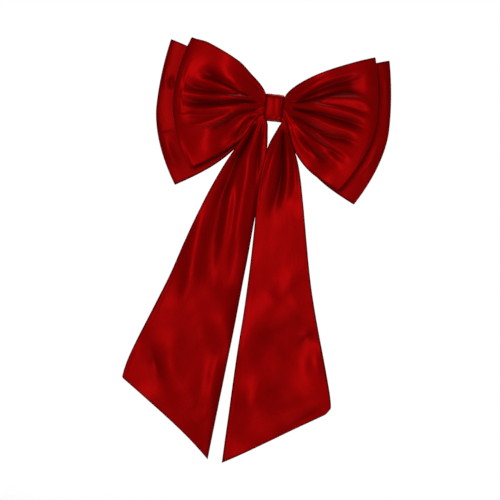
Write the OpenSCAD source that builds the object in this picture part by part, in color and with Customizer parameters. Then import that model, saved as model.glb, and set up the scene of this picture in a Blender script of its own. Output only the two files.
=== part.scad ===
/* [Bow layers] */
// Outermost reach of the back bow from its middle
back_reach = 100.3; // [80:0.1:130]
// Outermost reach of the front bow's left loop from its middle
front_reach_left = 86.5; // [70:0.1:120]
// Outermost reach of the front bow's right loop from its middle
front_reach_right = 88.5; // [70:0.1:120]
// Height of the back bow's upper left corner above the knot's centre
back_top_left = 49.0; // [30:0.1:70]
// Height of the back bow's upper right corner above the knot's centre
back_top_right = 51.2; // [30:0.1:70]
// Height of the front bow's upper outer corners above the knot's centre
front_top = 51.6; // [30:0.1:70]
// Depth of the back bow's lower outer corners below the knot's centre
back_drop = 74.3; // [50:0.1:95]
// Depth of the front bow's lower left corner below the knot's centre
front_drop_left = 59.0; // [40:0.1:85]
// Depth of the front bow's lower right corner below the knot's centre
front_drop_right = 64.0; // [40:0.1:85]
// How far the front bow's panels belly forward
front_belly = 20.0; // [8:0.5:26]
// How far the back bow's panels belly forward
back_belly = 3.4; // [1:0.1:4]
// Thickness of the satin with its interlining, away from the knot
satin = 1.2; // [0.8:0.1:2]
// Height of the soft pleats in the front panels
pleat = 1.1; // [0:0.1:2]
// Number of pleats across a panel
pleats = 5; // [2:1:8]

/* [Knot] */
// Width of the knot band along the bow
band_width = 16.0; // [12:0.5:24]
// Height of the knot band over its outer faces
band_height = 23.2; // [18:0.2:30]
// Thickness of the knot band's satin
band_satin = 1.0; // [0.8:0.1:1.6]
// Diameter of the gathering thread
thread = 0.4; // [0.3:0.05:0.6]

/* [Tails] */
// Drop of the left tail's tip below the knot's centre
left_tip = 302.5; // [200:0.5:360]
// Drop of the right tail's tip below the knot's centre
right_tip = 304.7; // [200:0.5:360]
// Drop of the left tail's outer corner below the knot's centre
left_corner = 241.0; // [160:0.5:300]
// Drop of the right tail's outer corner below the knot's centre
right_corner = 250.5; // [160:0.5:300]
// Thickness of a tail's two plies with their seam
tail_satin = 1.6; // [1:0.1:2.4]
// Height of the long soft waves in the tails
tail_wave = 1.5; // [0:0.1:2.5]

/* [Clip] */
// Length of the barrette over its base plate
clip_length = 80.0; // [60:1:100]
// Width of the base plate
clip_width = 8.0; // [6:0.5:12]
// Thickness of the base plate and the clasp arm
plate = 0.7; // [0.5:0.05:1]
// Rise of the base plate's arch from its ends to its middle
arch = 7.5; // [4:0.5:10]
// Diameter of the hinge pin
pin = 1.2; // [1:0.1:1.6]
// Clear width of the hair gap at its middle
hair_gap = 6.2; // [5:0.1:9]

/* [Hidden] */

satin_red = [0.56, 0.02, 0.03];
thread_red = [0.38, 0.02, 0.03];
steel = [0.72, 0.72, 0.74];

// rows round each bow layer, and points across its strip
bow_steps = 72;
bow_points = 12;
// depth of each waist's middle, behind the knot's front
front_waist_y = -14.1;
back_waist_y = -8.7;
front_waist = 2.3;
back_waist = 1.6;

// where the band's four runs lie
band_front = -21.2;
band_back = -3.8;
band_z0 = -11.5;

// the tails turn about these points, beside the band's lower corners
tail_pivot_x = 11.2;
tail_pivot_z = -8.0;
root_radius = 3.0;
root_y = -18.0;
tail_rows = 40;
tail_points = 12;

// the clip
arch_radius = (clip_length * clip_length / 4 + arch * arch) / (2 * arch);
plate_y = -6.2;
hinge_x = 37.0;
hinge_y = 4.3;
catch_x = -36.0;
catch_angle = asin(catch_x / arch_radius);
bar_y = -3.4;
bar_radius = 171;

function smooth(t) = let (k = min(1, max(0, t))) k * k * (3 - 2 * k);
function mix(a, b, t) = a + (b - a) * t;

// a closed surface through rings of equal point counts
module skin(rings, closed) {
    n = len(rings[0]);
    m = len(rings);
    last = closed ? m - 1 : m - 2;
    side_a = [for (i = [0 : last]) for (j = [0 : n - 1])
        [i * n + j, ((i + 1) % m) * n + (j + 1) % n, i * n + (j + 1) % n]];
    side_b = [for (i = [0 : last]) for (j = [0 : n - 1])
        [i * n + j, ((i + 1) % m) * n + j, ((i + 1) % m) * n + (j + 1) % n]];
    half = n / 2;
    cap_a = closed ? [] : [for (j = [0 : half - 2]) for (k = [0 : 1])
        k == 0 ? [j, j + 1, n - 2 - j] : [j, n - 2 - j, n - 1 - j]];
    end = (m - 1) * n;
    cap_b = closed ? [] : [for (j = [0 : half - 2]) for (k = [0 : 1])
        k == 0 ? [end + j + 1, end + j, end + n - 2 - j] : [end + n - 2 - j, end + j, end + n - 1 - j]];
    polyhedron([for (r = rings) for (p = r) p], concat(side_a, side_b, cap_a, cap_b), 4);
}

// reach of a bow's fold at height share v, rounded outwards
function fold_reach(reach, low, high, v) =
    v < 0.53 ? reach - low * pow((0.53 - v) / 0.53, 1.8)
             : reach - high * pow((v - 0.53) / 0.47, 2);

// height of a bow's point, at share s of the way to the fold and share v of the height;
// full lifts the middle of the upper edge and round fills out the lower one
function bow_z(s, v, waist_low, waist_high, drop, top, full, round) =
    let (t = max(0, (s - 0.1) / 0.9))
    let (lift = full * smooth((s - 0.25) / 0.2) * (1 - smooth((s - 0.88) / 0.12)))
    let (up = waist_high + (top - waist_high) * pow(t, 0.6) + lift)
    let (down = waist_low - (drop + waist_low) * (round * (1 - pow(1 - t, 3.5)) + (1 - round) * t))
    mix(down, up, v);

// how late the panel starts to belly out; the lower edge stays back, behind the tails
function late(v) = 0.5 * (1 - smooth(v / 0.45));

function front_y(s, v, a, skin_in) =
    let (s0 = late(v))
    let (g = smooth((s - s0) / (1 - s0)))
    let (grow = smooth((s - s0) / 0.45) - 0.45 * smooth((s - 0.5) / 0.5))
    let (w = (0.35 + 0.65 * smooth(v / 0.55)) * (1 - 0.3 * smooth((v - 0.6) / 0.4)))
    let (df = front_waist + front_belly * w * grow)
    let (db = front_waist + 1.5 * smooth(s / 0.4) * (1 - 2 * s0) + 4 * smooth((s - 0.6) / 0.4) * (1 - s0))
    let (mid = front_waist_y - 8 * g)
    let (soft = pleat * smooth((s - 0.1) / 0.2) * (1 - smooth((s - 0.35) / 0.5)))
    cos(a) > 0
        ? mid - (df - skin_in) * cos(a) + soft * cos(360 * pleats * v) * cos(a)
        : mid - (db - skin_in) * cos(a);

function back_y(s, v, a, skin_in) =
    let (df = back_waist + back_belly * smooth(s / 0.5) * (0.15 + 0.85 * smooth(v / 0.5))
        + 2.5 * smooth((s - 0.8) / 0.2))
    let (db = back_waist + 3.6 * smooth((s - 0.15) / 0.35) + 2.5 * smooth((s - 0.6) / 0.4))
    let (mid = back_waist_y - 1.6 * smooth(s) * smooth(v / 0.5))
    mid - ((cos(a) > 0 ? df : db) - skin_in) * cos(a);

function bow_wall(s) = satin + 0.7 * (1 - smooth(s / 0.1)) * 0.5;

function front_point(a, v, inset) =
    let (s = abs(sin(a)))
    let (left = sin(a) < 0)
    let (reach = (left ? fold_reach(front_reach_left, 21.2, 10.2, v)
                       : fold_reach(front_reach_right, 26.5, 7.2, v)) - inset)
    let (z = left ? bow_z(s, v, -3.4, 8.4, front_drop_left, front_top, 2.5, 0.38)
                  : bow_z(s, v, -3.4, 8.4, front_drop_right, front_top, 0, 0.6))
    [reach * sin(a), front_y(s, v, a, inset), z];

function back_point(a, v, inset) =
    let (s = abs(sin(a)))
    let (left = sin(a) < 0)
    let (reach = fold_reach(back_reach, 23, 6.2, v) - inset)
    let (z = left ? bow_z(s, v, -2.8, 8.2, back_drop, back_top_left, 0, 0.42)
                  : bow_z(s, v, -2.8, 8.2, back_drop, back_top_right, 0, 0.52))
    [reach * sin(a), back_y(s, v, a, inset), z];

// the larger bow layer: one strip closed into a ring and gathered at its middle
module back_bow() {
    rings = [for (i = [0 : bow_steps - 1])
        let (a = 360 * i / bow_steps)
        let (w = bow_wall(abs(sin(a))))
        concat([for (j = [0 : bow_points]) back_point(a, j / bow_points, 0)],
               [for (j = [bow_points : -1 : 0]) back_point(a, j / bow_points, w)])];
    color(satin_red) skin(rings, true);
}

// the smaller bow layer in front of it
module front_bow() {
    rings = [for (i = [0 : bow_steps - 1])
        let (a = 360 * i / bow_steps)
        let (w = bow_wall(abs(sin(a))))
        concat([for (j = [0 : bow_points]) front_point(a, j / bow_points, 0)],
               [for (j = [bow_points : -1 : 0]) front_point(a, j / bow_points, w)])];
    color(satin_red) skin(rings, true);
}

// one turn of thread round a flattened waist, at x along the bow
module thread_turn(x, y, z, half_y, half_z) {
    corner = 0.3;
    translate([x, y, z]) rotate([90, 0, 90]) linear_extrude(thread, center = true)
        difference() {
            offset(r = corner + thread) square([2 * (half_y - corner), 2 * (half_z - corner)], center = true);
            offset(r = corner) square([2 * (half_y - corner), 2 * (half_z - corner)], center = true);
        }
}

module back_bow_gather_thread() {
    color(thread_red)
        for (x = [-0.7, 0, 0.7])
            thread_turn(x, back_waist_y, 2.7, back_waist + 0.2, 5.75);
}

module front_bow_gather_thread() {
    color(thread_red)
        for (x = [-0.7, 0, 0.7])
            thread_turn(x, front_waist_y, 2.5, front_waist + 0.36, 6.2);
}

// the gathered middle of the sash, squeezed at its centre
module sash_waist() {
    rings = [for (i = [0 : 12])
        let (x = mix(-6.8, 6.8, i / 12))
        let (k = 1 - 0.22 * (1 - smooth(abs(x) / 5)))
        [for (j = [0 : 23])
            let (a = 360 * j / 24)
            let (r = 1 + 0.06 * cos(6 * a))
            [x, root_y + 1.05 * k * r * sin(a), -7.3 + 2.3 * k * r * cos(a)]]];
    color(satin_red) skin(rings, false);
}

module sash_gather_thread() {
    color(thread_red)
        for (x = [-0.45, 0.45])
            thread_turn(x, root_y, -7.3, 0.92, 2.0);
}

// a tail's edge, as a drop below the knot and a distance out from the middle
function outer_x(side, d) =
    side < 0 ? 9.6 + 0.33 * d + 18 * (1 - exp(-d / 26))
             : 9.6 + 0.255 * d + 8.4 * (1 - exp(-d / 14)) - 3.2 * sin(180 * min(1, d / 236));
function inner_x(side, d) =
    side < 0 ? 3.8 - 2.5 * smooth(d / 20) + 0.086 * max(0, d - 26)
             : 8.2 - 14 * (1 - exp(-d / 18)) - 0.028 * max(0, d - 130);

// the row at share w along a tail: its inner and outer end, each as [x, z]
function root_end(side, out, th) =
    [side * (tail_pivot_x + out * root_radius * sin(th)), tail_pivot_z + root_radius * cos(th)];

function tail_end(side, out, w) =
    let (corner = side < 0 ? left_corner : right_corner)
    let (tip = side < 0 ? left_tip : right_tip)
    let (z = out > 0 ? mix(tail_pivot_z - 2.2, -corner, w) : mix(tail_pivot_z - 2.2, -tip, w))
    let (d = max(0, -12 - z))
    let (x = out > 0 ? outer_x(side, d) : inner_x(side, d))
    let (near = 1 - smooth(out > 0 ? (-z - 9) / 9 : (-z - 11.6) / (side < 0 ? 2.4 : 4)))
    [side * mix(x, tail_pivot_x + out * root_radius * 0.96, near), z];

function tail_row(side, i) =
    i < 5 ? [root_end(side, -1, 20 + 17.5 * i), root_end(side, 1, 20 + 17.5 * i)]
          : let (w = pow((i - 5) / (tail_rows - 5), 1.8))
            [tail_end(side, -1, w), tail_end(side, 1, w)];

// depth of a tail's middle surface
function tail_y(side, z, c) =
    let (drop = -z)
    let (near = smooth((drop - 12) / 34))
    let (base = side < 0 ? mix(root_y, -21.4, near) + 3.4 * smooth((drop - 70) / 90)
                         : mix(root_y, -26.2, near) + 1.4 * smooth((drop - 70) / 90))
    let (wave = tail_wave * smooth((drop - 20) / 40))
    base + wave * cos(360 * (1.6 * c + 0.15)) * (0.6 + 0.4 * cos(drop * 1.6))
         + 0.5 * wave * sin(drop * 2.1 + 40 * side);

module tail(side) {
    rings = [for (i = [0 : tail_rows])
        let (r = tail_row(side, i))
        let (root = 1 - smooth((-r[1][1] - 10) / 26))
        let (t = mix(tail_satin, 2.2, root))
        concat(
            [for (j = [0 : tail_points])
                let (c = j / tail_points)
                let (x = mix(r[0][0], r[1][0], c))
                let (z = mix(r[0][1], r[1][1], c))
                let (e = sqrt(max(0.09, 1 - pow(abs(2 * c - 1), 6))))
                [x, tail_y(side, z, c) - t / 2 * e, z]],
            [for (j = [tail_points : -1 : 0])
                let (c = j / tail_points)
                let (x = mix(r[0][0], r[1][0], c))
                let (z = mix(r[0][1], r[1][1], c))
                let (e = sqrt(max(0.09, 1 - pow(abs(2 * c - 1), 6))))
                [x, tail_y(side, z, c) + t / 2 * e, z]])];
    color(satin_red) skin(side < 0 ? [for (i = [tail_rows : -1 : 0]) rings[i]] : rings, false);
}

module left_tail() {
    tail(-1);
}

module right_tail() {
    tail(1);
}

// one point of the band's run round the knot, at angle a and share c across
function band_point(a, c, inset) =
    let (half_y = (band_back - band_front) / 2)
    let (half_z = band_height / 2)
    let (n = 6)
    let (k = pow(pow(abs(cos(a)), n) + pow(abs(sin(a)), n), -1 / n))
    let (roll = (cos(a) > 0 ? 0.5 : 0.1) * pow(abs(2 * c - 1), 4))
    let (crown = cos(a) > 0 ? 0.9 * pow(max(0, cos(a)), 2) * (1 - pow(2 * c - 1, 2)) : 0)
    let (wide = band_width * (1 - 0.06 * pow(cos(a), 2)))
    [wide * (c - 0.5),
     (band_front + band_back) / 2 - (half_y - inset - roll) * k * cos(a) - crown,
     band_z0 + half_z + (half_z - inset - roll) * k * sin(a)];

module knot_band() {
    rings = [for (i = [0 : 47])
        let (a = 360 * i / 48)
        concat([for (j = [0 : 10]) band_point(a, j / 10, 0)],
               [for (j = [10 : -1 : 0]) band_point(a, j / 10, band_satin)])];
    color(satin_red) skin(rings, true);
}

// short hand stitches across the seam at the band's back run
module knot_seam_stitches() {
    color(thread_red)
        for (x = [-5 : 2 : 5])
            translate([x, band_back + 0.14, 7.0]) rotate([0, 24, 0])
                cylinder(h = 2.2, r = 0.12, center = true, $fn = 12);
}

// height of an arc of radius r above its crown, at x
function arc_rise(r, x) = r - sqrt(r * r - x * x);

// a strip bent to an arc in the XY plane, from x0 to x1
module arc_strip(r, x0, x1, y, t) {
    n = 24;
    polygon(concat(
        [for (i = [0 : n]) let (x = mix(x0, x1, i / n)) [x, y + arc_rise(r, x)]],
        [for (i = [n : -1 : 0]) let (x = mix(x0, x1, i / n)) [x, y + t + arc_rise(r, x)]]));
}

// places children on the base plate's inner face at the catch, Y standing off the face
module at_catch() {
    translate([catch_x, plate_y + plate + arc_rise(arch_radius, catch_x), 0])
        rotate([0, 0, catch_angle])
            children();
}

module clip_base_plate() {
    half = clip_length / 2;
    color(steel) difference() {
        union() {
            linear_extrude(clip_width, center = true)
                arc_strip(arch_radius, -half, half, plate_y, plate);
            for (side = [-1, 1])
                translate([0, 0, side * (clip_width / 2 - plate / 2)])
                    linear_extrude(plate, center = true) {
                        translate([hinge_x, hinge_y])
                            circle(d = 3.6, $fn = 32);
                        translate([hinge_x - 1.8, 0.4])
                            square([3.6, hinge_y - 0.4]);
                    }
        }
        translate([hinge_x, hinge_y, 0])
            cylinder(h = clip_width + 2, d = pin + 0.1, center = true, $fn = 32);
        at_catch() rotate([90, 0, 0])
            cylinder(h = 4, d = 1.5, center = true, $fn = 24);
        for (x = [-28.7, 32.7])
            translate([x, 0, 0])
                cube([1.1, 12, 3.8], center = true);
        for (x = [-20, 20])
            translate([x, 0, 0]) rotate([90, 0, 0])
                cylinder(h = 20, d = 1.6, center = true, $fn = 24);
    }
}

module hinge_pin() {
    color(steel) translate([hinge_x, hinge_y, 0]) {
        cylinder(h = clip_width + 0.2, d = pin, center = true, $fn = 32);
        for (side = [-1, 1])
            translate([0, 0, side * (clip_width / 2 + 0.35)])
                cylinder(h = 0.5, d = 2.1, center = true, $fn = 32);
    }
}

// the arm that closes over the hair: a barrel at the hinge, a slotted eye at the catch
module clasp_arm() {
    arm_y = bar_y + 0.5 + hair_gap;
    color(steel) difference() {
        union() {
            linear_extrude(6, center = true)
                arc_strip(640, -33, hinge_x - 0.6, arm_y, plate);
            linear_extrude(7, center = true)
                arc_strip(640, -40.5, -31, arm_y, plate);
            translate([hinge_x, hinge_y, 0])
                cylinder(h = 6, d = 3.0, center = true, $fn = 32);
        }
        translate([hinge_x, hinge_y, 0])
            cylinder(h = 10, d = pin + 0.4, center = true, $fn = 32);
        translate([-34.6, arm_y, 0])
            cube([5.4, 6, 4.6], center = true);
    }
}

// the thin inner bow that presses the hair against the arm, its ends hooked through the plate
module tension_bar() {
    color(steel) linear_extrude(3, center = true) {
        arc_strip(bar_radius, -28.95, 32.95, bar_y, 0.5);
        for (x = [-28.95, 32.45])
            translate([x, plate_y + arc_rise(arch_radius, x) - 0.5])
                square([0.5, bar_y + arc_rise(bar_radius, x) - plate_y - arc_rise(arch_radius, x) + 0.8]);
    }
}

module catch_plate() {
    color(steel) at_catch() difference() {
        translate([0, 0.42, 0])
            cube([4.4, 0.5, 6], center = true);
        rotate([90, 0, 0])
            cylinder(h = 4, d = 1.5, center = true, $fn = 24);
    }
}

// one leg of the spring catch, with its hook standing outwards over the arm's slot
module catch_leg(side) {
    at_catch() {
        translate([0, 3.6, side * 1.7])
            cube([2.8, 5.0, 0.4], center = true);
        translate([0, 5.8, side * 2.1])
            cube([2.8, 0.8, 1.2], center = true);
    }
}

module catch_leg_upper() {
    color(steel) catch_leg(1);
}

module catch_leg_lower() {
    color(steel) catch_leg(-1);
}

module catch_rivet() {
    color(steel) at_catch() rotate([90, 0, 0]) {
        cylinder(h = 2.0, d = 1.3, center = true, $fn = 24);
        translate([0, 0, -0.92])
            cylinder(h = 0.35, d = 2.2, center = true, $fn = 24);
        translate([0, 0, 0.98])
            cylinder(h = 0.35, d = 2.2, center = true, $fn = 24);
    }
}

back_bow();
front_bow();
back_bow_gather_thread();
front_bow_gather_thread();
sash_waist();
sash_gather_thread();
left_tail();
right_tail();
knot_band();
knot_seam_stitches();
clip_base_plate();
hinge_pin();
clasp_arm();
tension_bar();
catch_plate();
catch_leg_upper();
catch_leg_lower();
catch_rivet();
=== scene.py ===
"""A red satin double bow with two long tails, on a barrette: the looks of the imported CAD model."""
import math

import bpy
import numpy as np
from mathutils import Matrix, Vector


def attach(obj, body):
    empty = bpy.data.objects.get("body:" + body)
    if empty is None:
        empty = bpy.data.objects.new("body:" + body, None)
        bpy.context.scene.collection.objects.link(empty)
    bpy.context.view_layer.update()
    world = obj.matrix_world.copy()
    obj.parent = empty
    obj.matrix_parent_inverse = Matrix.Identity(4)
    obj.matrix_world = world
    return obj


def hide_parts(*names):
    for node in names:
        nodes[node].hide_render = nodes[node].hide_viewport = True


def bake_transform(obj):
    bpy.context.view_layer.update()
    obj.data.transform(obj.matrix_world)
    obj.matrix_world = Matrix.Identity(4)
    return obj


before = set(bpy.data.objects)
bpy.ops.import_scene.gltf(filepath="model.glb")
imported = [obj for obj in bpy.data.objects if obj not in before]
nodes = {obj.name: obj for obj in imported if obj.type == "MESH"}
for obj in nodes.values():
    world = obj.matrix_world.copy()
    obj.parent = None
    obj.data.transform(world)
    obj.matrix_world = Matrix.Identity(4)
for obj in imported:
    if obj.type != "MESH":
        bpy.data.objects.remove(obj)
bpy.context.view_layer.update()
MM = 0.001
TURN = 2 * np.pi
scene = bpy.context.scene

# ---------------------------------------------------------------- camera
# The bow is straight in the frame, so the photograph's tilt is a roll of the camera.
ROLL = math.radians(6.3)
FRAME_WIDTH = 0.425
DISTANCE = 1.9
# the point that the camera looks at
AIM_X, AIM_Y, AIM_Z = -0.0070, -0.022, -0.1228
cam_data = bpy.data.cameras.new("camera")
cam_data.sensor_width = 36
cam_data.lens = 36 * DISTANCE / FRAME_WIDTH
cam_data.clip_end = 20
cam = bpy.data.objects.new("camera", cam_data)
right = Vector((math.cos(ROLL), 0, math.sin(ROLL)))
up = Vector((-math.sin(ROLL), 0, math.cos(ROLL)))
back = Vector((0, -1, 0))
aim = Matrix((right, up, back)).transposed().to_4x4()
cam.matrix_world = Matrix.Translation((AIM_X, AIM_Y - DISTANCE, AIM_Z)) @ aim
scene.collection.objects.link(cam)
scene.camera = cam
scene.view_settings.view_transform = "Standard"


# ---------------------------------------------------------------- small helpers
def smooth(t):
    t = np.clip(t, 0, 1)
    return t * t * (3 - 2 * t)


def mix(a, b, t):
    return a + (b - a) * t


def bump(x, centre, width):
    return np.exp(-(((x - centre) / width) ** 2))


def ripples(x, z, seed, shortest, longest, slope, parts=7):
    """Soft random undulation of a cloth surface, in mm, of about the given slope.

    The same seed gives the same cloth."""
    rng = np.random.default_rng(seed)
    h = np.zeros_like(x)
    for _ in range(parts):
        wave = rng.uniform(shortest, longest)
        turn, phase = rng.uniform(0, TURN, 2)
        h = h + wave * np.cos(TURN * (x * np.cos(turn) + z * np.sin(turn)) / wave + phase)
    return h * slope / TURN / math.sqrt(parts / 2)


FULL_DEPTH = 4.4  # mm, a valley this deep gets the full painted shade


def folds(X, Z, table, tail_off=0.45):
    """Height, in mm, of folds drawn as curved lines over the cloth, and how deep in one each point lies.

    Each row of the table is (points as (x, z) in mm, width at the start, width at the end, height). A ridge
    is rounded. A negative height makes a valley, sharper where it is narrow. Each fold fades out at its ends,
    over the share tail_off at the far one. The second result is from 0 to 1, at the bottom of a valley, and
    sets the painted shade there."""
    h = np.zeros_like(X)
    deep = np.zeros_like(X)
    for points, w0, w1, high in table:
        Q = np.array(points, float)
        slope = np.gradient(Q, axis=0)
        t = np.linspace(0, len(Q) - 1, 6 * len(Q))
        i = np.minimum(t.astype(int), len(Q) - 2)
        q = (t - i)[:, None]
        line = ((2 * q**3 - 3 * q**2 + 1) * Q[i] + (q**3 - 2 * q**2 + q) * slope[i]
                + (3 * q**2 - 2 * q**3) * Q[i + 1] + (q**3 - q**2) * slope[i + 1])
        step = np.linalg.norm(np.diff(line, axis=0), axis=1)
        at = np.concatenate([[0], np.cumsum(step)]) / step.sum()
        best = np.full(X.shape, 1e9)
        along = np.zeros_like(X)
        for k in range(len(line) - 1):
            d = line[k + 1] - line[k]
            u = np.clip(((X - line[k, 0]) * d[0] + (Z - line[k, 1]) * d[1]) / (d @ d), 0, 1)
            gap = (X - line[k, 0] - u * d[0]) ** 2 + (Z - line[k, 1] - u * d[1]) ** 2
            near = gap < best
            best = np.where(near, gap, best)
            along = np.where(near, at[k] + u * (at[k + 1] - at[k]), along)
        w = mix(w0, w1, along)
        lead = min(0.5, max(0.06, (2.5 if w0 < 1.5 else 7) * w0 / step.sum()))
        fade = smooth(along / lead) * smooth((1 - along) / tail_off)
        if high > 0:
            shape = np.exp(-best / w**2)
        else:
            soft = np.clip(w / 4.5, 0.35, 1.4)
            shape = np.exp(1.4 * (soft - np.sqrt(best / w**2 + soft**2)))
            strength = min(1, -high / FULL_DEPTH) * np.clip(4.5 / w, 0.3, 1)
            deep = np.maximum(deep, np.exp(-best / (1.15 * w) ** 2) * fade * strength)
        h = h + high * shape * fade * mix(0.4, 1, smooth(along / 0.3))
    return h, deep


def normals(P, closed):
    """Unit normals of a grid of points; the first axis may close on itself."""
    if closed:
        du = np.roll(P, -1, 0) - np.roll(P, 1, 0)
    else:
        du = np.gradient(P, axis=0)
    dv = np.gradient(P, axis=1)
    n = np.cross(du, dv)
    return n / np.maximum(np.linalg.norm(n, axis=2, keepdims=True), 1e-12)


def ply(name, P, H, closed, uv, material, deep=None):
    """A two-faced sheet: a front and a back grid, each H off the middle surface P.

    The two share the points along the open edges. Points are in mm, and uv in mm of cloth. deep is how far
    down in a fold each point lies, from 0 to 1, which the material paints as shade."""
    nu, nv = P.shape[:2]
    N = normals(P, closed)
    front = (P + N * H[..., None]).reshape(-1, 3)
    rim = np.zeros((nu, nv), bool)
    rim[:, 0] = rim[:, -1] = True
    if not closed:
        rim[0] = rim[-1] = True
    inner = ~rim
    front_index = np.arange(nu * nv).reshape(nu, nv)
    back_index = front_index.copy()
    back_index[inner] = nu * nv + np.arange(inner.sum())
    behind = (P - N * H[..., None])[inner]
    points = np.concatenate([front, behind]) * MM

    def quads(g, flip):
        a, b = (g, np.roll(g, -1, 0)) if closed else (g[:-1], g[1:])
        q = np.stack([a[:, :-1], b[:, :-1], b[:, 1:], a[:, 1:]], -1).reshape(-1, 4)
        return q[:, ::-1] if flip else q

    def quad_uv(flip):
        full = np.concatenate([uv, uv[-1:] + uv[1:2] - uv[:1]]) if closed else uv
        a, b = full[:-1], full[1:]
        q = np.stack([a[:, :-1], b[:, :-1], b[:, 1:], a[:, 1:]], -2).reshape(-1, 4, 2)
        return q[:, ::-1] if flip else q

    faces = np.concatenate([quads(front_index, False), quads(back_index, True)])
    coords = np.concatenate([quad_uv(False), quad_uv(True)]).reshape(-1, 2) * MM
    mesh = bpy.data.meshes.new(name)
    mesh.vertices.add(len(points))
    mesh.vertices.foreach_set("co", points.astype(np.float32).ravel())
    mesh.loops.add(faces.size)
    mesh.loops.foreach_set("vertex_index", faces.astype(np.int32).ravel())
    mesh.polygons.add(len(faces))
    mesh.polygons.foreach_set("loop_start", np.arange(0, faces.size, 4, dtype=np.int32))
    mesh.polygons.foreach_set("use_smooth", np.ones(len(faces), bool))
    layer = mesh.uv_layers.new(name="cloth")
    layer.data.foreach_set("uv", coords.astype(np.float32).ravel())
    # how near each point is to an open edge, for the painted shade, a dark outline, along it
    step = np.linalg.norm(np.diff(P, axis=1), axis=2)
    run = np.concatenate([np.zeros((nu, 1)), np.cumsum(step, 1)], 1)
    gap = np.minimum(run, run[:, -1:] - run)
    if not closed:
        step = np.linalg.norm(np.diff(P, axis=0), axis=2)
        run = np.concatenate([np.zeros((1, nv)), np.cumsum(step, 0)], 0)
        gap = np.minimum(gap, np.minimum(run, run[-1:] - run))
    seam = np.exp(-(gap / 1.2) ** 2)
    deep = np.zeros_like(gap) if deep is None else deep
    for title, value in (("seam", seam), ("deep", deep)):
        layer = mesh.attributes.new(title, "FLOAT", "POINT")
        layer.data.foreach_set("value", np.concatenate([value.ravel(), value[inner]]).astype(np.float32))
    mesh.update(calc_edges=True)
    mesh.validate()
    mesh.materials.append(material)
    o = bpy.data.objects.new(name, mesh)
    scene.collection.objects.link(o)
    return o


def across(n, edge=0.008):
    """Shares from 0 to 1, closer together beside the edges, so that an edge can be rounded."""
    fine = np.array([0, 0.12, 0.35, 0.7, 1.2, 2.0]) * edge
    middle = np.linspace(fine[-1] * 1.6, 1 - fine[-1] * 1.6, n)
    return np.concatenate([fine, middle, 1 - fine[::-1]])


def edge_profile(v, edge=0.008):
    d = np.minimum(v, 1 - v) / edge
    return np.sqrt(np.clip(1 - (1 - np.minimum(d, 1)) ** 2, 0, 1))


# ---------------------------------------------------------------- materials
def node(tree, kind, x, y, **values):
    n = tree.nodes.new(kind)
    n.location = (x, y)
    for k, v in values.items():
        setattr(n, k, v)
    return n


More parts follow.
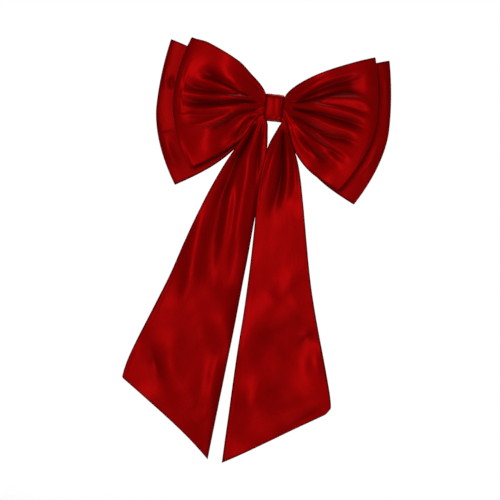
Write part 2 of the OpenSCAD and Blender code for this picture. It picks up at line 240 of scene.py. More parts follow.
def satin(name, base, shade):
    """Polyester satin: long floats along the strip draw its gloss out, over a fine, uneven weave."""
    m = bpy.data.materials.new(name)
    m.use_nodes = True
    t = m.node_tree
    p = t.nodes["Principled BSDF"]
    uv = node(t, "ShaderNodeUVMap", -1500, 0, uv_map="cloth")
    # threads: fine lines along and across the strip
    warp = node(t, "ShaderNodeMapping", -1250, 200)
    warp.inputs["Scale"].default_value = (260, 3400, 1)
    t.links.new(uv.outputs["UV"], warp.inputs["Vector"])
    floats = node(t, "ShaderNodeTexNoise", -1000, 200)
    floats.inputs["Scale"].default_value = 1
    floats.inputs["Detail"].default_value = 2
    t.links.new(warp.outputs["Vector"], floats.inputs["Vector"])
    weft = node(t, "ShaderNodeMapping", -1250, -150)
    weft.inputs["Scale"].default_value = (2600, 500, 1)
    t.links.new(uv.outputs["UV"], weft.inputs["Vector"])
    cross = node(t, "ShaderNodeTexNoise", -1000, -150)
    cross.inputs["Scale"].default_value = 1
    cross.inputs["Detail"].default_value = 1
    t.links.new(weft.outputs["Vector"], cross.inputs["Vector"])
    # handling marks: faint broad dents and small puckers
    place = node(t, "ShaderNodeMapping", -1250, -500)
    place.inputs["Scale"].default_value = (38, 55, 1)
    t.links.new(uv.outputs["UV"], place.inputs["Vector"])
    dents = node(t, "ShaderNodeTexNoise", -1000, -500)
    dents.inputs["Scale"].default_value = 1
    dents.inputs["Detail"].default_value = 3
    dents.inputs["Roughness"].default_value = 0.45
    t.links.new(place.outputs["Vector"], dents.inputs["Vector"])
    # colour
    ramp = node(t, "ShaderNodeValToRGB", -500, 350)
    ramp.color_ramp.elements[0].position = 0.3
    ramp.color_ramp.elements[0].color = (*shade, 1)
    ramp.color_ramp.elements[1].position = 0.72
    ramp.color_ramp.elements[1].color = (*base, 1)
    blend = node(t, "ShaderNodeMix", -750, 350, data_type="FLOAT")
    blend.inputs[0].default_value = 0.45
    t.links.new(dents.outputs["Fac"], blend.inputs[2])
    t.links.new(floats.outputs["Fac"], blend.inputs[3])
    t.links.new(blend.outputs[0], ramp.inputs["Fac"])
    # painted shade: the colour is darkened along the open edges and at the bottoms of the folds
    seam = node(t, "ShaderNodeAttribute", -900, 650, attribute_name="seam")
    deep = node(t, "ShaderNodeAttribute", -900, 850, attribute_name="deep")
    most = node(t, "ShaderNodeMath", -700, 750, operation="MAXIMUM")
    some = node(t, "ShaderNodeMath", -800, 900, operation="MULTIPLY")
    some.inputs[1].default_value = 0.9
    t.links.new(deep.outputs["Fac"], some.inputs[0])
    t.links.new(seam.outputs["Fac"], most.inputs[0])
    t.links.new(some.outputs[0], most.inputs[1])
    dark = node(t, "ShaderNodeMix", -250, 450, data_type="RGBA")
    dark.inputs[7].default_value = (*[c * 0.18 for c in shade], 1)
    t.links.new(most.outputs[0], dark.inputs[0])
    t.links.new(ramp.outputs["Color"], dark.inputs[6])
    t.links.new(dark.outputs[2], p.inputs["Base Color"])
    # roughness
    rough = node(t, "ShaderNodeMapRange", -500, 50)
    rough.inputs["To Min"].default_value = 0.39
    rough.inputs["To Max"].default_value = 0.51
    t.links.new(floats.outputs["Fac"], rough.inputs["Value"])
    t.links.new(rough.outputs["Result"], p.inputs["Roughness"])
    # bump
    b1 = node(t, "ShaderNodeBump", -500, -200)
    b1.inputs["Strength"].default_value = 0.35
    b1.inputs["Distance"].default_value = 0.00005
    t.links.new(floats.outputs["Fac"], b1.inputs["Height"])
    b2 = node(t, "ShaderNodeBump", -300, -300)
    b2.inputs["Strength"].default_value = 0.2
    b2.inputs["Distance"].default_value = 0.00004
    t.links.new(cross.outputs["Fac"], b2.inputs["Height"])
    t.links.new(b1.outputs["Normal"], b2.inputs["Normal"])
    b3 = node(t, "ShaderNodeBump", -100, -400)
    b3.inputs["Strength"].default_value = 0.4
    b3.inputs["Distance"].default_value = 0.0011
    t.links.new(dents.outputs["Fac"], b3.inputs["Height"])
    t.links.new(b2.outputs["Normal"], b3.inputs["Normal"])
    t.links.new(b3.outputs["Normal"], p.inputs["Normal"])
    p.inputs["Metallic"].default_value = 0.3
    p.inputs["Specular Tint"].default_value = (1.0, 0.03, 0.03, 1)
    p.inputs["Specular IOR Level"].default_value = 0.4
    p.inputs["Sheen Weight"].default_value = 0.06
    p.inputs["Sheen Roughness"].default_value = 0.5
    p.inputs["Sheen Tint"].default_value = (1.0, 0.04, 0.05, 1)
    return m


def metal(name, colour, low, high, scale, strength):
    """Plated spring steel: brushed along its length, a little uneven, with faint marks."""
    m = bpy.data.materials.new(name)
    m.use_nodes = True
    t = m.node_tree
    p = t.nodes["Principled BSDF"]
    co = node(t, "ShaderNodeTexCoord", -1200, 0)
    mp = node(t, "ShaderNodeMapping", -1000, 0)
    mp.inputs["Scale"].default_value = scale
    t.links.new(co.outputs["Object"], mp.inputs["Vector"])
    lines = node(t, "ShaderNodeTexNoise", -800, 0)
    lines.inputs["Scale"].default_value = 1
    lines.inputs["Detail"].default_value = 4
    t.links.new(mp.outputs["Vector"], lines.inputs["Vector"])
    marks = node(t, "ShaderNodeTexNoise", -800, -300)
    marks.inputs["Scale"].default_value = 260
    marks.inputs["Detail"].default_value = 3
    t.links.new(co.outputs["Object"], marks.inputs["Vector"])
    rough = node(t, "ShaderNodeMapRange", -500, 0)
    rough.inputs["To Min"].default_value = low
    rough.inputs["To Max"].default_value = high
    t.links.new(lines.outputs["Fac"], rough.inputs["Value"])
    t.links.new(rough.outputs["Result"], p.inputs["Roughness"])
    ramp = node(t, "ShaderNodeValToRGB", -500, 300)
    ramp.color_ramp.elements[0].position = 0.35
    ramp.color_ramp.elements[0].color = (*[c * 0.72 for c in colour], 1)
    ramp.color_ramp.elements[1].position = 0.6
    ramp.color_ramp.elements[1].color = (*colour, 1)
    t.links.new(marks.outputs["Fac"], ramp.inputs["Fac"])
    t.links.new(ramp.outputs["Color"], p.inputs["Base Color"])
    b = node(t, "ShaderNodeBump", -300, -250)
    b.inputs["Strength"].default_value = strength
    b.inputs["Distance"].default_value = 0.00005
    t.links.new(lines.outputs["Fac"], b.inputs["Height"])
    t.links.new(b.outputs["Normal"], p.inputs["Normal"])
    p.inputs["Metallic"].default_value = 1.0
    return m


def spun(name, colour):
    """Sewing thread: a twist of fine plies."""
    m = bpy.data.materials.new(name)
    m.use_nodes = True
    t = m.node_tree
    p = t.nodes["Principled BSDF"]
    co = node(t, "ShaderNodeTexCoord", -1000, 0)
    w = node(t, "ShaderNodeTexWave", -800, 0, wave_type="BANDS", bands_direction="DIAGONAL")
    w.inputs["Scale"].default_value = 1500
    w.inputs["Distortion"].default_value = 1.5
    t.links.new(co.outputs["Object"], w.inputs["Vector"])
    ramp = node(t, "ShaderNodeValToRGB", -500, 200)
    ramp.color_ramp.elements[0].color = (*[c * 0.45 for c in colour], 1)
    ramp.color_ramp.elements[1].color = (*colour, 1)
    t.links.new(w.outputs["Fac"], ramp.inputs["Fac"])
    t.links.new(ramp.outputs["Color"], p.inputs["Base Color"])
    b = node(t, "ShaderNodeBump", -300, -200)
    b.inputs["Strength"].default_value = 0.6
    b.inputs["Distance"].default_value = 0.0001
    t.links.new(w.outputs["Fac"], b.inputs["Height"])
    t.links.new(b.outputs["Normal"], p.inputs["Normal"])
    p.inputs["Roughness"].default_value = 0.6
    return m


RED = (0.34, 0.0006, 0.0010)
DEEP = (0.25, 0.0003, 0.0006)
satin_front = satin("satin_front", RED, DEEP)
# the back bow's and the knot's satin are the same satin made darker: painted shade for the back layer and the
# knot. The tails' copy is 4% darker.
satin_back_painted_shade = satin("satin_back_painted_shade", tuple(c * 0.72 for c in RED), tuple(c * 0.7 for c in DEEP))
satin_tail = satin("satin_tail", tuple(c * 0.96 for c in RED), tuple(c * 0.95 for c in DEEP))
satin_knot_painted_shade = satin("satin_knot_painted_shade", tuple(c * 0.8 for c in RED), tuple(c * 0.75 for c in DEEP))
steel = metal("clip_steel", (0.66, 0.66, 0.68), 0.24, 0.42, (60, 2500, 2500), 0.35)
bright = metal("pin_steel", (0.74, 0.74, 0.76), 0.12, 0.26, (900, 900, 900), 0.15)
thread_red = spun("thread_red", (0.30, 0.004, 0.006))

# ---------------------------------------------------------------- the two bow layers
BELLY = 20.0  # mm, how far the front bow's loops stand out
SKIN = 0.6  # mm, half the thickness of the satin with its lining


def reach_at(reach, low, high, v):
    return np.where(v < 0.53, reach - low * (np.clip((0.53 - v) / 0.53, 0, 1)) ** 1.8,
                    reach - high * (np.clip((v - 0.53) / 0.47, 0, 1)) ** 2)


def height_at(s, v, low, high, drop, top, full, fill):
    """Height of a bow's point: full lifts the middle of the upper edge, and fill rounds out the lower one."""
    t = np.clip((s - 0.1) / 0.9, 0, 1)
    lift = full * smooth((s - 0.25) / 0.2) * (1 - smooth((s - 0.8) / 0.2))
    upper = high + (top - high) * t ** 0.6 + lift
    lower = low - (drop + low) * (fill * (1 - (1 - t) ** 3.5) + (1 - fill) * t)
    return mix(lower, upper, v)


# The folds that fan out from the knot over the front panels, as lines in mm.
# In this table and the three others like it, most points are places read off the photograph in pixels, which
# another program turned into mm and pasted in. It also rescaled many of the widths and heights. So these
# tables were made by another program and aren't worked out from the frame.
FRONT_FOLDS = [
    ([(-19.5, 6), (-30, 9.5), (-43.5, 15), (-57, 21), (-69, 25)], 1.4, 5, -3.6),
    ([(-19.5, 8.5), (-34.5, 11), (-52, 15), (-71.5, 16.5)], 1.1, 3.2, 1.1),
    ([(-29.5, 6.5), (-42.5, 7.5), (-59.5, 8), (-72.5, 10), (-82.5, 13.5)], 1.4, 4.5, -3.2),
    ([(-16, 5.5), (-29.5, 4.5), (-46.5, 3.5), (-63.5, 2.5), (-76, 3), (-83.5, 6.5)], 1, 3.5, 1.9),
    ([(-13, 3), (-29, 1.5), (-46, -2), (-62.5, -3), (-75.5, -3), (-83.5, -0.5)], 1.3, 4.2, -4.4),
    ([(-16, -0.5), (-33, -3.5), (-49.5, -7.5), (-66.5, -9.5), (-77.5, -8.5)], 1, 3.2, 1.4),
    ([(-35, -8), (-46.5, -11.5), (-57.5, -13.5), (-70, -14), (-81, -13)], 1.4, 4, -1.8),
    ([(-13, -0.5), (-24.5, -4), (-35, -8), (-43, -14), (-56.5, -21), (-69, -24.5),
      (-81.5, -25)], 1, 3.5, 2.4),
    ([(-12, -6), (-19.5, -9), (-25, -15), (-29, -21.5), (-36, -31), (-43.5, -39.5)], 1.1, 4.2, 2.4),
    ([(-14.5, -7.5), (-21, -13), (-26, -20.5), (-31.5, -30.5)], 1.1, 3.2, -2.6),
    ([(15.5, 10.5), (27, 18.5), (40.5, 27), (56.5, 34.5), (73.5, 40.5)], 1.4, 5, 1.4),
    ([(33, 9), (50.5, 13), (63, 14), (73.5, 12.5), (87.5, 6.5)], 1.6, 4, 1.9),
    ([(35, 6), (55, 7), (68, 5.5), (83, 2.5)], 1.4, 3.2, -1.6),
    ([(11.5, 4), (21.5, 4.5), (38.5, 4.5), (51.5, 3.5), (64.5, 1.5), (84.5, -2.5)], 1, 3.8, 1.6),
    ([(13.5, 1.5), (24, -0.5), (39.5, -2), (52, -4), (65, -6), (83.5, -8.5)], 1.4, 4.2, -4.4),
    ([(13, -1.5), (22.5, -3), (40, -8.5), (57.5, -12), (78, -14)], 1, 3.8, 1.8),
    ([(13, -5), (23, -8), (36.5, -15), (49.5, -19.5), (62.5, -20.5), (79, -25)], 1.4, 4, -3.8),
    ([(23, -11), (37, -18.5), (46, -24.5), (59.5, -31.5), (73, -38.5)], 1, 3, 1.3),
    ([(22, -13.5), (37.5, -23.5), (51, -30.5), (67, -36.5)], 1.1, 3, -2.8),
    ([(17, -10.5), (29, -23.5), (41, -33.5), (51.5, -38), (67.5, -43.5)], 1.1, 3.8, 2.1),
    ([(23.5, -21), (29, -26.5), (38.5, -34.5), (51.5, -42.5)], 1.3, 3.5, -2.8),
    ([(14.5, -8.5), (21, -20.5), (28, -30), (40, -39.5)], 1.1, 3.8, 1.4),
    ([(13.5, 7), (22.5, 10.5), (33, 16.5), (45, 23), (61.5, 29), (80.5, 34)], 1.6, 6.5, -4.6),
    ([(15.5, 6), (25.5, 8), (37.5, 12.5), (50, 17), (62.5, 20), (80, 23.5)], 1.4, 6, -3.8),
    ([(-12.5, -3), (-20, -5), (-29.5, -9), (-37.5, -16), (-47, -22), (-56.5, -28)], 1.2, 3.4, -3.2),
]
# On the back bow, only what shows round the front one.
REAR_FOLDS = [
    ([(-94, 26), (-95.5, 15.5), (-93, 3.5)], 0.8, 1.4, 1),
    ([(-90, 21), (-89.5, 12.5), (-88, 4)], 1.6, 2.2, -1.4),
    ([(91, 43), (96, 22), (98, 2.5), (96, -12.5)], 2.2, 3.5, 1.2),
    ([(94, -17), (88.5, -35), (77, -56.5)], 3, 4, 1.4),
    ([(-91, -30.5), (-86, -45.5), (-77.5, -61.5)], 3, 4.5, 1.6),
]
# Pleats of the other panels: share of the height, width, how high each stands, and how far out it fades.
REAR_PLEATS = {
    -1: [(0.88, 0.060, 2.0, 1.0), (0.74, 0.050, -2.4, 0.9), (0.60, 0.055, 2.4, 1.0), (0.46, 0.040, -2.0, 0.9),
         (0.30, 0.055, 2.2, 1.0), (0.14, 0.045, -2.0, 0.9)],
    1: [(0.90, 0.055, 1.8, 1.0), (0.77, 0.055, -2.4, 0.9), (0.62, 0.050, 2.2, 1.0), (0.49, 0.045, -2.2, 0.9),
        (0.33, 0.055, 2.4, 1.0), (0.17, 0.050, -2.0, 0.9)],
}


def pleat_height(table, s, v, side, deep):
    """How far the pleats stand out, in mm: they start in the gathers, are deepest soon after, and fade."""
    h = np.zeros_like(s)
    for centre, width, high, fade in table:
        drift = centre + 0.02 * np.sin(3 * s + centre * 20) * s
        w = width * (0.75 + 0.6 * s)
        rise = smooth((s - 0.06) / 0.22)
        fall = 1 - smooth((s - 0.34) / (fade - 0.28))
        h = h + high * bump(v, drift, w) * rise * fall
    wind = 10.5 * v + 0.6 * np.sin(7 * v + side) + 0.3 * side
    reach = smooth((s - 0.07) / 0.05) * (1 - smooth((s - 0.12) / 0.24))
    return h - deep * (0.5 - np.abs(np.cos(np.pi * wind)) ** 0.8) * reach


def front_surface(a, v):
    s = np.abs(np.sin(a))
    c = np.cos(a)
    side = np.sign(np.sin(a) + 1e-9)
    s0 = 0.5 * (1 - smooth(v / 0.45))
    g = smooth((s - s0) / (1 - s0))
    grow = smooth((s - s0) / 0.45) - 0.45 * smooth((s - 0.5) / 0.5)
    w = (0.35 + 0.65 * smooth(v / 0.55)) * (1 - 0.3 * smooth((v - 0.6) / 0.4))
    df = 2.3 + BELLY * w * grow
    db = 2.3 + 1.5 * smooth(s / 0.4) * (1 - 2 * s0) + 4 * smooth((s - 0.6) / 0.4) * (1 - s0)
    middle = -14.1 - 8 * g
    y = middle - np.where(c > 0, df - SKIN, db - SKIN) * c
    left = side < 0
    reach = np.where(left, reach_at(86.5, 21.2, 10.2, v), reach_at(88.5, 26.5, 7.2, v)) - SKIN
    x = reach * np.sin(a)
    z = np.where(left, height_at(s, v, -3.4, 8.4, 59.0, 51.6, 2.5, 0.38),
                 height_at(s, v, -3.4, 8.4, 64.0, 51.6, 0, 0.6))
    gathers = pleat_height([], s, v, side, 0.7)
    h, deep = folds(x, z, FRONT_FOLDS, 0.28)
    y = y - np.where(c > 0, (h + gathers) * smooth(c * 2.2), 0)
    deep = deep * smooth(c * 3)
    # broad slack between the pleats and the fold, and the soft line of the fold itself
    slack = ripples(side * 90 * s, 100 * v, 5, 26, 60, 0.13) * smooth((s - 0.25) / 0.4)
    y = y + np.where(c > 0, slack * smooth(c * 3), 0)
    # the edge of the layer behind shows through as a faint line near the left fold
    line = 0.5 * bump(s, 0.93 - 0.03 * v, 0.012) * smooth((v - 0.38) / 0.05) * (1 - smooth((v - 0.72) / 0.1))
    crease = 0.45 * bump(v, 0.40, 0.008) * smooth((s - 0.72) / 0.05) * (1 - smooth((s - 0.93) / 0.02))
    y = y - np.where((c > 0) & (side < 0), line + crease, 0)
    return np.stack([x, y, z], -1), deep


def back_surface(a, v):
    s = np.abs(np.sin(a))
    c = np.cos(a)
    side = np.sign(np.sin(a) + 1e-9)
    df = 1.6 + 3.4 * smooth(s / 0.5) * (0.15 + 0.85 * smooth(v / 0.5)) + 2.5 * smooth((s - 0.8) / 0.2)
    db = 1.6 + 3.6 * smooth((s - 0.15) / 0.35) + 2.5 * smooth((s - 0.6) / 0.4)
    middle = -8.7 - 1.6 * smooth(s) * smooth(v / 0.5)
    y = middle - np.where(c > 0, df - SKIN, db - SKIN) * c
    left = side < 0
    x = (reach_at(100.3, 23, 6.2, v) - SKIN) * np.sin(a)
    z = np.where(left, height_at(s, v, -2.8, 8.2, 74.3, 49.0, 0, 0.42),
                 height_at(s, v, -2.8, 8.2, 74.3, 51.2, 0, 0.52))
    h = np.where(left, pleat_height(REAR_PLEATS[-1], s, v, side, 0.65),
                 pleat_height(REAR_PLEATS[1], s, v, side, 0.65))
    rise, deep = folds(x, z, REAR_FOLDS)
    y = y - np.where(c > 0, rise * smooth(c * 2.2), 0)
    deep = np.where(c > 0, deep, 0)
    # the pleats stay shallow where the barrette's plate lies on them
    rear = mix(0.3, 1.0, np.maximum(smooth((np.abs(z) - 5.5) / 7), smooth((s - 0.44) / 0.15)))
    y = y + np.where(c < 0, h * smooth(-c * 2.2) * rear, 0)
    wave = ripples(side * 100 * s, 110 * v, 9, 30, 70, 0.10) * smooth((s - 0.5) / 0.25)
    y = y + wave * np.abs(c)
    crease = 0.5 * bump(v, 0.36, 0.012) * smooth((s - 0.86) / 0.04)
    y = y - np.where((c > 0) & (side < 0), crease, 0)
    return np.stack([x, y, z], -1), deep


def bow_layer(name, surface, strip_length, strip_width, material):
    rows = 288
    a = TURN * np.arange(rows) / rows
    # more rows beside the knot, where the pleats start
    a = a - 0.21 * np.sin(2 * a)
    v = across(92)
    A, V = np.meshgrid(a, v, indexing="ij")
    P, deep = surface(A, V)
    s = np.abs(np.sin(A))
    H = mix(0.55, 0.42, smooth(s / 0.2)) * edge_profile(V)
    uv = np.stack([strip_length * (A / TURN), strip_width * V], -1)
    return ply(name, P, H, True, uv, material, deep)


back_bow = bow_layer("back_bow_satin", back_surface, 420, 124, satin_back_painted_shade)
front_bow = bow_layer("front_bow_satin", front_surface, 372, 113, satin_front)
for o, n in ((back_bow, "back_bow"), (front_bow, "front_bow")):
    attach(o, "bow")
    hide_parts(n)

# ---------------------------------------------------------------- the tails
# Each row: the outer edge and the inner edge, as a distance out from the middle and a height, in mm.
# The rows are given to fit the photograph; part.scad has formulas for these edges, and not these rows.
LEFT_ROWS = [
    (6.5, -5.2, 6.5, -10.0), (9.4, -6.8, 6.0, -11.0), (13.2, -9.6, 4.8, -12.4), (16.4, -14.4, 3.8, -15.0),
    (20.8, -23.0, 3.0, -21.0), (27.2, -34.4, 2.0, -32.0), (35.4, -50.0, 2.2, -48.0),
    (46.2, -74.0, 4.0, -74.0),
    (55.3, -97.9, 6.2, -98.0), (63.8, -123.0, 8.2, -128.0), (71.9, -149.0, 10.8, -160.0),
    (79.0, -168.5, 13.1, -190.0),
    (87.0, -189.5, 15.8, -220.0), (95.2, -211.0, 18.4, -248.0), (99.6, -224.0, 20.2, -268.0),
    (102.0, -233.0, 21.8, -286.0),
    (103.6, -242.6, 23.4, -304.6)]
RIGHT_ROWS = [
    (6.5, -5.2, 6.5, -10.0), (9.2, -7.2, 7.4, -11.0), (12.0, -11.5, 7.8, -12.6), (14.2, -17.0, 6.4, -15.2),
    (17.6, -26.0, 3.2, -21.5), (23.4, -39.5, -1.6, -34.0), (28.0, -54.0, -4.2, -52.0),
    (33.0, -76.5, -6.0, -74.0),
    (39.6, -109.0, -5.5, -104.0), (46.8, -143.0, -5.6, -140.0), (52.5, -165.0, -6.5, -175.0),
    (58.8, -186.5, -8.2, -208.0),
    (65.2, -207.4, -9.2, -238.0), (71.4, -228.5, -9.9, -266.0), (74.6, -240.5, -10.5, -284.0),
    (75.9, -247.6, -10.8, -296.0),
    (76.0, -252.4, -11.0, -305.0)]


def spline(rows, n):
    """Smooth rows through the given ones."""
    R = np.array(rows, float)
    k = len(R)
    step = np.hypot(np.diff(R[:, 0]), np.diff(R[:, 1])) + np.hypot(np.diff(R[:, 2]), np.diff(R[:, 3]))
    at = np.concatenate([[0], np.cumsum(step)])
    slope = np.gradient(R, at, axis=0)
    # closer rows near the cut end, where a corner is rounded
    end, close = 20, 16
    t = np.concatenate([np.linspace(0, 1, n - close) ** 1.6 * (at[-1] - end),
                        at[-1] - end + end * np.linspace(0.05, 1, close)])
    i = np.clip(np.searchsorted(at, t, side="right") - 1, 0, k - 2)
    h = (at[i + 1] - at[i])[:, None]
    q = ((t - at[i]) / h[:, 0])[:, None]
    a = 2 * q**3 - 3 * q**2 + 1
    b = q**3 - 2 * q**2 + q
    c = -2 * q**3 + 3 * q**2
    d = q**3 - q**2
    return a * R[i] + b * h * slope[i] + c * R[i + 1] + d * h * slope[i + 1]


LEFT_FOLDS = [
    ([(-13.5, -10), (-17.5, -19), (-23, -29.5), (-29.5, -41.5), (-36.5, -56)], 1.2, 1.8, 1.4),
    ([(-13, -13), (-15.5, -21), (-19.5, -32), (-25.5, -42), (-32.5, -55.5), (-39, -71.5)], 1.2, 3.4, -3.5),
    ([(-42, -80), (-47.5, -93), (-50.5, -106), (-52.5, -121), (-54, -138), (-57, -171), (-62, -206),
      (-66, -232)], 5, 8.5, 2.6),
    ([(-23, -46), (-31, -64), (-37, -82.5), (-39, -100), (-40.5, -117), (-41, -136), (-41, -158),
      (-42, -182)], 4, 8.5, -3.4),
    ([(-27, -60), (-28.8, -72), (-28.8, -86), (-29.4, -101), (-30.6, -121), (-31.8, -140),
      (-31.6, -172)], 3, 4.8, 2.0),
    ([(-85, -206), (-79.5, -220.5), (-73, -238), (-68, -250)], 3.2, 5.5, -1.9),
    ([(-62, -197.5), (-65, -219), (-60.5, -240), (-51.5, -260.5)], 5.3, 7.8, 1.0),
    ([(-22, -201.5), (-26, -227.5), (-26, -253), (-26.5, -279)], 4.7, 6.5, 2.2),
    ([(-34, -232), (-38, -258.5), (-36, -280), (-30.5, -296.5)], 4.6, 6.6, -1.3),
    ([(-46, -180), (-46.5, -200), (-46.5, -220)], 3.8, 4.4, 0.8),
    ([(-14.5, -22.5), (-16.8, -40), (-16.4, -58), (-17.4, -81), (-18.2, -99), (-19.6, -124),
      (-21.4, -154), (-22.5, -188.5)], 4.2, 6.6, 3.4),
    ([(-14, -13.5), (-17, -23), (-21, -34.5), (-25.5, -46), (-30, -58), (-34.5, -73),
      (-38, -90)], 1.4, 5, -3.8),
    ([(-9, -11), (-9, -27), (-9, -44.5), (-9, -66.5), (-9.5, -85.5)], 1.8, 3.4, -3.2),
]
RIGHT_FOLDS = [
    ([(10, -10.5), (15, -22), (19, -33.5), (23, -47.5), (27, -66)], 0.7, 1, -1.2),
    ([(7.5, -20.5), (5.5, -32.5), (3, -44.5), (1, -58), (-0.5, -71), (-1.5, -85.5),
      (-1.5, -101)], 2.1, 5.2, 3.5),
    ([(9.5, -14), (11, -34), (12.3, -54), (11.2, -71), (8, -88), (3.5, -108)], 1.4, 6.6, -4.6),
    ([(11, -20), (15, -35), (17.5, -51.5), (18, -67), (16, -82), (13, -96.5)], 1.4, 4.7, 3),
    ([(16.5, -31), (22, -49), (25, -66), (26, -84)], 1.4, 3.9, -1.3),
    ([(40.5, -119.5), (34, -139), (23, -160.5), (9.5, -177.5), (-3, -191)], 9.4, 13, 3.2),
    ([(46, -151), (41, -170.5), (29, -184), (15, -197.5), (7, -217), (2.5, -241.5)], 8.3, 13, -3.8),
    ([(62, -190.5), (58.5, -206), (60.5, -223), (55.5, -239)], 5.9, 10.4, 2.7),
    ([(57.5, -180.5), (49, -190), (43, -204.5)], 3.5, 5.9, -2.2),
    ([(10.5, -220), (9.5, -242.5), (5.5, -267), (1, -288)], 7.1, 11.7, 2.4),
    ([(38.5, -208.5), (34.5, -234.5), (28, -254), (16.5, -274)], 8.3, 13, -2.7),
    ([(74, -235.5), (63.5, -250), (43, -266), (20.5, -280.5)], 4.7, 6.5, -2.2),
    ([(26, -57.5), (32, -80), (36, -102.5), (36.5, -128.5)], 12, 14, 3.2),
]


def tail_depth(side, x, z, c):
    drop = -z
    near = smooth((drop - 12) / 34)
    if side < 0:
        base = mix(-18.0, -21.4, near) + 3.4 * smooth((drop - 70) / 90)
    else:
        base = mix(-18.0, -26.2, near) + 1.4 * smooth((drop - 70) / 90)
    h, deep = folds(x, z, LEFT_FOLDS if side < 0 else RIGHT_FOLDS, 0.6)
    fine = 0.25 * np.cos(TURN * 7 * c) * smooth((drop - 8) / 8) * (1 - smooth((drop - 16) / 24))
    # where the two tails cross, their folds are pressed flatter
    press = mix(1.0, 0.6, smooth((0.4 - c) / 0.3) * smooth((drop - 25) / 12) * (1 - smooth((drop - 95) / 25)))
    # soft undulation lower down, on a slant, and the inner edge turning back, on the left the outer one too
    low = smooth((drop - 85) / 80)
    wave = (ripples(x + 0.35 * drop * side, drop, 21 + side, 42, 95, 0.11)
            + ripples(x, drop, 33 + side, 20, 36, 0.04))
    wide = 25 + drop * 0.3
    edge = np.exp(-np.maximum(c, 0) * wide / 5.0) * smooth((drop - 40) / 50)
    turn = (4.4 if side < 0 else 0.8) * edge
    if side < 0:
        # painted shade along the left tail's turned-back inner edge
        deep = np.maximum(deep, 0.6 * edge)
        span = smooth((drop - 75) / 40) * (1 - smooth((drop - 170) / 60))
        outer = np.exp(-(1 - np.minimum(c, 1)) * wide / 7.0) * span
        turn = turn + 2.2 * outer
        # painted shade along the left tail's turned outer edge
        deep = np.maximum(deep, 0.35 * outer)
    return base - (h + fine) * press + low * wave + turn, deep


CUT_WIDTH = 87  # mm, across the cut end


def tail(name, side, rows, node_name):
    n = 250
    R = spline(rows, n)
    v = across(84, 0.012)
    xo, zo, xi, zi = (R[:, k][:, None] for k in range(4))
    C = np.broadcast_to(v[None, :], (n, len(v)))
    X = side * mix(xi, xo, C)
    Z = mix(zi, zo, C)
    # the outer corner is rounded
    W = np.linspace(0, 1, n)[:, None]
    radius = 1.2 if side < 0 else 4.5
    up_edge = Z - Z[-1]
    u = np.clip(1 - (1 - C) * CUT_WIDTH / radius, 0, 1)
    w = np.clip(1 - up_edge / radius, 0, 1)
    X = X - side * radius * (u - u * np.sqrt(1 - w * w / 2))
    Z = Z + radius * (w - w * np.sqrt(1 - u * u / 2))
    # the cut end isn't quite straight
    cut = smooth((W - 0.8) / 0.2) * np.sin(np.pi * C ** 0.7)
    Z = Z + cut * (2.8 if side < 0 else -0.6)
    Y, deep = tail_depth(side, X, Z, C)
    P = np.stack([X, Y, Z], -1)
    along = np.concatenate([[0], np.cumsum(np.linalg.norm(np.diff(P[:, len(v) // 2], axis=0), axis=1))])
    rows_left = (along[-1] - along)[:, None]
    end = np.sqrt(np.clip(1 - (1 - np.clip(rows_left / 1.2, 0, 1)) ** 2, 0, 1))
    start = np.sqrt(np.clip(1 - (1 - np.clip(along[:, None] / 1.2, 0, 1)) ** 2, 0, 1))
    from_edge = np.minimum(C, 1 - C)
    seam = 1 + 0.18 * bump(from_edge, 0.022, 0.012) - 0.10 * bump(from_edge, 0.05, 0.012)
    H = 0.6 * edge_profile(C, 0.012) * end * start * seam
    if side > 0:
        P, H, deep, C = P[:, ::-1], H[:, ::-1], deep[:, ::-1], 1 - C
    uv = np.stack([np.broadcast_to(along[:, None], H.shape), 85 * C], -1)
    o = ply(name, P[:, ::-1], H[:, ::-1], False, uv[:, ::-1], satin_tail, deep[:, ::-1])
    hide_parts(node_name)
    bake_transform(o)
    return o


left_tail = tail("left_tail_satin", -1, LEFT_ROWS, "left_tail")
right_tail = tail("right_tail_satin", 1, RIGHT_ROWS, "right_tail")


# ---------------------------------------------------------------- the knot band, the sash's gathered middle
def band_surface(a, c):
    y0, y1, z0, tall = -21.2, -3.8, -11.5, 23.2
    half_y, half_z = (y1 - y0) / 2, tall / 2
    k = (np.abs(np.cos(a)) ** 6 + np.abs(np.sin(a)) ** 6) ** (-1 / 6)
    front = np.cos(a) > 0
    roll = np.where(front, 0.5, 0.1) * np.abs(2 * c - 1) ** 4
    crown = np.where(front, 0.9 * np.clip(np.cos(a), 0, 1) ** 2 * (1 - (2 * c - 1) ** 2), 0)
    wide = 16.0 * (1 - 0.06 * np.cos(a) ** 2)
    soft = (0.14 * np.sin(TURN * 1.4 * c + 1.2 * np.sin(a))
            + 0.05 * np.sin(TURN * 3.1 * c + 2 * np.sin(a)))
    x = wide * (c - 0.5) + np.where(front, 0.25 * np.sin(3 * a), 0)
    y = (y0 + y1) / 2 - (half_y - 0.5 - roll + np.where(front, soft, 0)) * k * np.cos(a) - crown
    z = z0 + half_z + (half_z - 0.5 - roll + soft * 0.6) * k * np.sin(a)
    return np.stack([x, y, z], -1)


a = TURN * np.arange(220) / 220
c = across(54, 0.05)
A, C = np.meshgrid(a, c, indexing="ij")
P = band_surface(A, C)
band = ply("knot_band_satin", P, 0.45 * edge_profile(C, 0.05), True,
           np.stack([80 * A / TURN, 16 * C], -1), satin_knot_painted_shade)
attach(band, "bow")
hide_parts("knot_band")

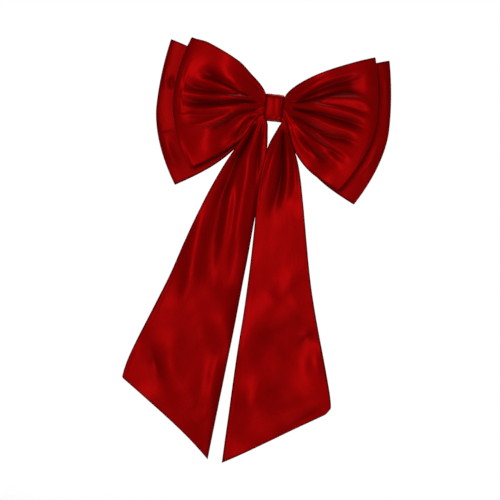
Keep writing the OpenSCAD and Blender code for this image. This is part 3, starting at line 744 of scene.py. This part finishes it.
t = np.linspace(0, 1, 60)
a = TURN * np.arange(96) / 96
A, T = np.meshgrid(a, t, indexing="ij")
x = mix(-6.8, 6.8, T)
k = 1 - 0.22 * (1 - smooth(np.abs(x) / 5))
r = (1 + 0.05 * np.cos(9 * A + 2 * T)) * k * np.sqrt(np.clip(1 - (2 * T - 1) ** 30, 0, 1))
sash_points = np.stack([x, -18.0 + 0.95 * r * np.sin(A), -7.3 + 2.15 * r * np.cos(A)], -1)
sash = ply("sash_waist_satin", sash_points, np.full(A.shape, 0.12) * edge_profile(T, 0.03), True,
           np.stack([14 * A / TURN, 13.6 * T], -1), satin_tail)
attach(sash, "bow")
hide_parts("sash_waist")

# ---------------------------------------------------------------- CAD nodes that stay, with their finishes
FINISH = {
    "clip_base_plate": steel, "clasp_arm": steel, "tension_bar": steel, "catch_plate": steel,
    "catch_leg_upper": steel, "catch_leg_lower": steel, "hinge_pin": bright, "catch_rivet": bright,
    "back_bow_gather_thread": thread_red, "front_bow_gather_thread": thread_red,
    "sash_gather_thread": thread_red, "knot_seam_stitches": thread_red}
for name, material in FINISH.items():
    mesh = nodes[name].data
    mesh.materials.clear()
    mesh.materials.append(material)

# ---------------------------------------------------------------- floor, light and world
floor_mesh = bpy.data.meshes.new("floor")
FLOOR_RADIUS, FLOOR_HEIGHT, FLOOR_SIDES = 0.8, -0.42, 64
ring = [(FLOOR_RADIUS * math.cos(k * 2 * math.pi / FLOOR_SIDES),
         FLOOR_RADIUS * math.sin(k * 2 * math.pi / FLOOR_SIDES),
         FLOOR_HEIGHT) for k in range(FLOOR_SIDES)]
floor_mesh.from_pydata(ring, [], [tuple(range(FLOOR_SIDES))])
floor = bpy.data.objects.new("floor", floor_mesh)
scene.collection.objects.link(floor)
fm = bpy.data.materials.new("floor")
fm.use_nodes = True
ft = fm.node_tree
fp = ft.nodes["Principled BSDF"]
fp.inputs["Base Color"].default_value = (0.88, 0.88, 0.88, 1)
fp.inputs["Roughness"].default_value = 0.8
place = node(ft, "ShaderNodeTexCoord", -900, 0)
length = node(ft, "ShaderNodeVectorMath", -700, 0, operation="LENGTH")
fade = node(ft, "ShaderNodeMapRange", -500, 0, interpolation_type="SMOOTHSTEP")
fade.inputs["From Min"].default_value = 0.3
fade.inputs["From Max"].default_value = FLOOR_RADIUS
fade.inputs["To Min"].default_value = 1
fade.inputs["To Max"].default_value = 0
ft.links.new(place.outputs["Object"], length.inputs[0])
ft.links.new(length.outputs["Value"], fade.inputs["Value"])
ft.links.new(fade.outputs["Result"], fp.inputs["Alpha"])
floor_mesh.materials.append(fm)

world = bpy.data.worlds.new("world")
scene.world = world
world.use_nodes = True
wt = world.node_tree
bg = wt.nodes["Background"]
bg.inputs["Color"].default_value = (1, 1, 1, 1)
bg.inputs["Strength"].default_value = 0.05
seen = node(wt, "ShaderNodeBackground", -200, -200)
seen.inputs["Color"].default_value = (1, 1, 1, 1)
seen.inputs["Strength"].default_value = 1.0
path = node(wt, "ShaderNodeLightPath", -400, 200)
pick = node(wt, "ShaderNodeMixShader", 100, 0)
wt.links.new(path.outputs["Is Camera Ray"], pick.inputs[0])
wt.links.new(bg.outputs[0], pick.inputs[1])
wt.links.new(seen.outputs[0], pick.inputs[2])
wt.links.new(pick.outputs[0], wt.nodes["World Output"].inputs["Surface"])


def area_light(name, at, target, size, power):
    data = bpy.data.lights.new(name, "AREA")
    data.shape = "RECTANGLE"
    data.size, data.size_y = size
    data.energy = power
    o = bpy.data.objects.new(name, data)
    o.location = at
    o.rotation_euler = (Vector(target) - Vector(at)).to_track_quat("-Z", "Y").to_euler()
    scene.collection.objects.link(o)
    return o


area_light("key", (-0.35, -1.6, 0.2), (0, 0, -0.1), (0.6, 0.5), 13.1)
area_light("front", (0.6, -1.4, -1.0), (0, 0, -0.1), (0.7, 0.5), 12.1)
area_light("top", (0.15, 0.25, 1.1), (0, 0, -0.05), (0.9, 0.6), 8)
area_light("rear", (0.3, 1.3, 0.4), (0, 0, -0.1), (0.9, 0.9), 16)
